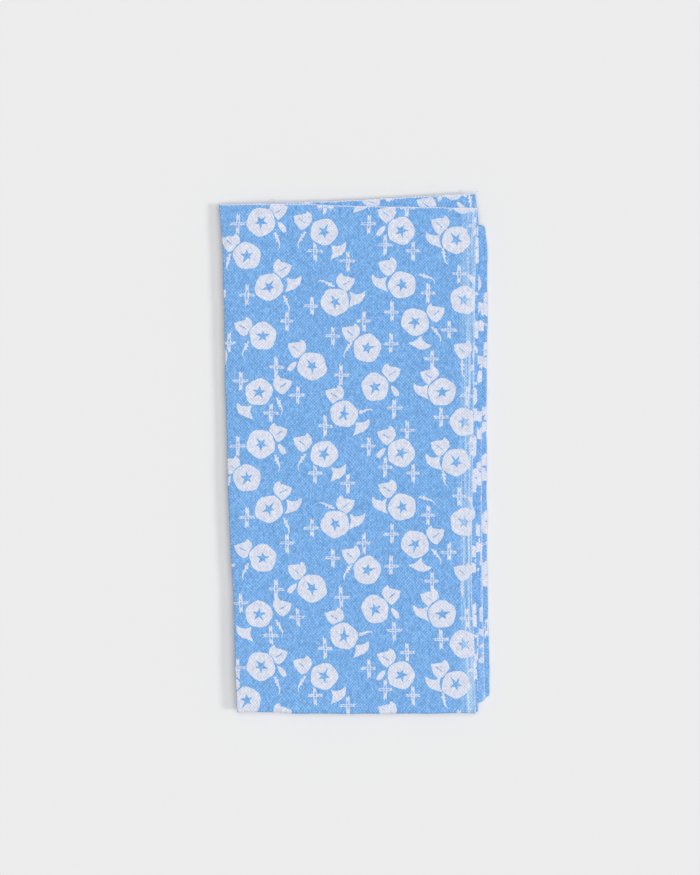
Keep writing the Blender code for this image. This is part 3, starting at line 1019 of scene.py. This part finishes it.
def weaveGroup():
    # Plain weave on flat cloth: its height, the yarns' tones, which yarn lies on top,
    # and a value for each crossing
    group = bpy.data.node_groups.new("plainWeave", "ShaderNodeTree")
    face = group.interface
    face.new_socket("Vector", in_out="INPUT", socket_type="NodeSocketVector")
    face.new_socket("Spacing", in_out="INPUT", socket_type="NodeSocketFloat")
    for name in ("Height", "Yarn", "Warp on top", "Grain"):
        face.new_socket(name, in_out="OUTPUT", socket_type="NodeSocketFloat")
    enter = group.nodes.new("NodeGroupInput")
    leave = group.nodes.new("NodeGroupOutput")
    place, spacing = enter.outputs["Vector"], enter.outputs["Spacing"]
    net = Wiring(group)

    scale, far = finish["wander"]
    wander = net.noise(place, scale, 1.0, "Color")
    across, along = net.split(net.vector("MULTIPLY_ADD", wander, (far, far, 0.0), place))
    closer = finish["warpCloser"]
    across = net.math("DIVIDE", across, net.times(spacing, closer))
    along = net.math("DIVIDE", along, net.math("DIVIDE", spacing, closer))
    warp = net.math("SINE", net.times(across, math.pi))
    weft = net.math("SINE", net.times(along, math.pi))
    over = net.times(warp, weft)  # above zero where a warp yarn lies on top
    onTop = net.math("ADD", net.times(over, 0.5), 0.5)
    warpHeight = net.times(net.math("ABSOLUTE", warp), onTop)
    below = net.math("SUBTRACT", 1.0, onTop)
    weftHeight = net.times(net.math("ABSOLUTE", weft), below)
    height = net.math("ADD", warpHeight, weftHeight)

    def yarnTones(yarns, way, pace, start):
        # One value for each yarn, drifting slowly along it
        scale, step = finish["tones"]
        yarn = net.times(net.math("ROUND", yarns), step)
        return net.noise(net.combine(yarn, net.times(way, pace), start), scale, 2.0)

    warpTones = yarnTones(across, along, *finish["warpTones"])
    weftTones = yarnTones(along, across, *finish["weftTones"])
    through = finish["warpThrough"]
    share = net.math("ADD", net.times(onTop, 1 - through), through)
    tones = net.remap(net.mix(share, weftTones, warpTones), finish["toneSpan"])

    fleckAlong = net.math("FLOOR", net.times(along, finish["fleckPace"]))
    fleck = net.combine(net.math("FLOOR", across), fleckAlong)
    grain = net.add("TexWhiteNoise", ("Vector",), (fleck,), noise_dimensions="2D")["Value"]
    net.feed(leave.inputs, (height, tones, onTop, grain))
    return group


def cottonMaterial(weave):
    material = bpy.data.materials.new("printedCotton")
    material.use_nodes = True
    shader = material.node_tree.nodes["Principled BSDF"]
    for name, value in finish["surface"].items():
        shader.inputs[name].default_value = value

    net = Wiring(material.node_tree)
    place = net.add("UVMap", uv_map="flatCloth")[0]
    across, along = net.split(place)
    dye = net.add("Attribute", attribute_name="dye")["Fac"]
    sockets = ("Vector", "Spacing")
    woven = net.add("Group", sockets, (place, finish["thread"]), node_tree=weave)
    height, tones = woven["Height"], woven["Yarn"]

    # The edge of the print follows the yarns a little
    ragged = net.times(net.math("SUBTRACT", tones, 0.5), finish["ragged"])
    bareCloth = net.remap(net.math("ADD", dye, ragged), finish["edge"])

    # Yarns take the dye unevenly
    ground = net.mixColour(tones, *finish["groundYarns"])
    scale, strength = finish["drift"]
    drift = net.times(net.noise(place, scale, 3.0), strength)
    ground = net.mixColour(drift, ground, finish["groundMean"])
    bare = net.mixColour(tones, *finish["bareYarns"])

    # Towards the free selvage the ground is paler, in streaks along the cloth that are
    # fainter near its far end
    streaks = net.noise(net.vector("MULTIPLY", place, finish["streaks"]), 1.0, 2.0)
    streaks = net.remap(streaks, finish["streakSpan"])
    strength = net.remap(along, finish["streakFade"], finish["streakStrength"])
    streaks = net.times(streaks, strength)
    streaks = net.times(net.remap(across, finish["streakReach"]), streaks)
    ground = net.mixColour(streaks, ground, finish["streakColour"])

    # Cut yarns at the upper raw end and the free selvage's last loops are lighter
    ends = []
    for way, name in ((along, "cutEnd"), (across, "loops")):
        begins, full, strength = finish[name]
        ends.append(net.times(net.remap(way, (begins, full)), strength))
    colour = net.mixColour(bareCloth, ground, bare)
    colour = net.mixColour(net.math("MAXIMUM", *ends), colour, finish["frayedColour"])

    # Light and shade painted into the colour: light on the yarns, shade between them, and each
    # crossing differs a little
    # painted light on whichever yarn lies on top
    lighter = net.times(woven["Warp on top"], finish["paintedTopLight"])
    relief = net.math("ADD", height, lighter)
    shade = net.remap(relief, (0.0, 1 + finish["paintedTopLight"]), finish["shade"])
    flecks = (1 - finish["grain"], 1 + finish["grain"])
    shade = net.times(shade, net.remap(woven["Grain"], (0.0, 1.0), flecks))
    share, calm = finish["calm"]
    shade = net.mix(net.times(bareCloth, share), shade, calm)
    shaded = net.add("VectorMath", (0, "Scale"), (colour, shade), operation="SCALE")[0]

    bump = net.add("Bump", ("Strength", "Distance", "Height"), (*finish["bump"], height))[0]
    net.feed((shader.inputs["Base Color"], shader.inputs["Normal"]), (shaded, bump))
    return material


# Floor, light and camera, in metres

studio = {
    "floor": 40.0,
    "floorColour": (0.80, 0.80, 0.80),
    "world": 0.27,  # the room's own light
    "backdrop": 0.84,  # and how pale it looks past the floor
    "soft": (1.875, 50.0, 4.0, 0.0),  # strength, angle, tilt to the right, turn
    "key": (0.87, 14.0, 47.0, -8.0),
    "cameraHeight": 1.15,  # above the plane at clothHeight
    "clothHeight": 0.006,
    "frameTall": 0.4025,  # of that plane, the length that the picture takes in
    "frameCentre": (-0.0020, 0.0074),
}


def makeStudio():
    bpy.ops.object.select_all(action="DESELECT")
    bpy.ops.mesh.primitive_plane_add(size=studio["floor"], location=(0, 0, 0))
    floor = bpy.context.active_object
    floor.name = "studioFloor"
    paper = bpy.data.materials.new("paleFloor")
    paper.use_nodes = True
    shader = paper.node_tree.nodes["Principled BSDF"]
    shader.inputs["Base Color"].default_value = (*studio["floorColour"], 1)
    shader.inputs["Roughness"].default_value = 1.0
    shader.inputs["Specular IOR Level"].default_value = 0.0
    floor.data.materials.append(paper)

    world = bpy.data.worlds.new("softRoom")
    bpy.context.scene.world = world
    world.use_nodes = True
    backdrop = world.node_tree.nodes["Background"]
    backdrop.inputs["Color"].default_value = (1, 1, 1, 1)
    net = Wiring(world.node_tree)
    seen = net.add("LightPath")["Is Camera Ray"]
    paleness = net.mix(seen, studio["world"], studio["backdrop"])
    net.feed((backdrop.inputs["Strength"],), (paleness,))

    for name in ("soft", "key"):
        strength, spread, tilt, turn = studio[name]
        lamp = bpy.data.lights.new(name + "Light", "SUN")
        lamp.energy = strength
        lamp.angle = math.radians(spread)
        light = bpy.data.objects.new(name + "Light", lamp)
        light.rotation_euler = (0, math.radians(tilt), math.radians(turn))
        bpy.context.collection.objects.link(light)

    lens = bpy.data.cameras.new("overhead")
    lens.sensor_fit = "VERTICAL"
    lens.angle_y = 2 * math.atan(studio["frameTall"] / 2 / studio["cameraHeight"])
    camera = bpy.data.objects.new("overhead", lens)
    camera.location = (*studio["frameCentre"], studio["cameraHeight"] + studio["clothHeight"])
    bpy.context.collection.objects.link(camera)
    bpy.context.scene.camera = camera
    bpy.context.scene.view_settings.view_transform = "Standard"
    print("floor, light and camera placed")


weave = weaveGroup()
towelCloth = buildCloth()
towelCloth.data.materials.append(cottonMaterial(weave))
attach(towelCloth, "root")
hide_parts("towel")
makeStudio()
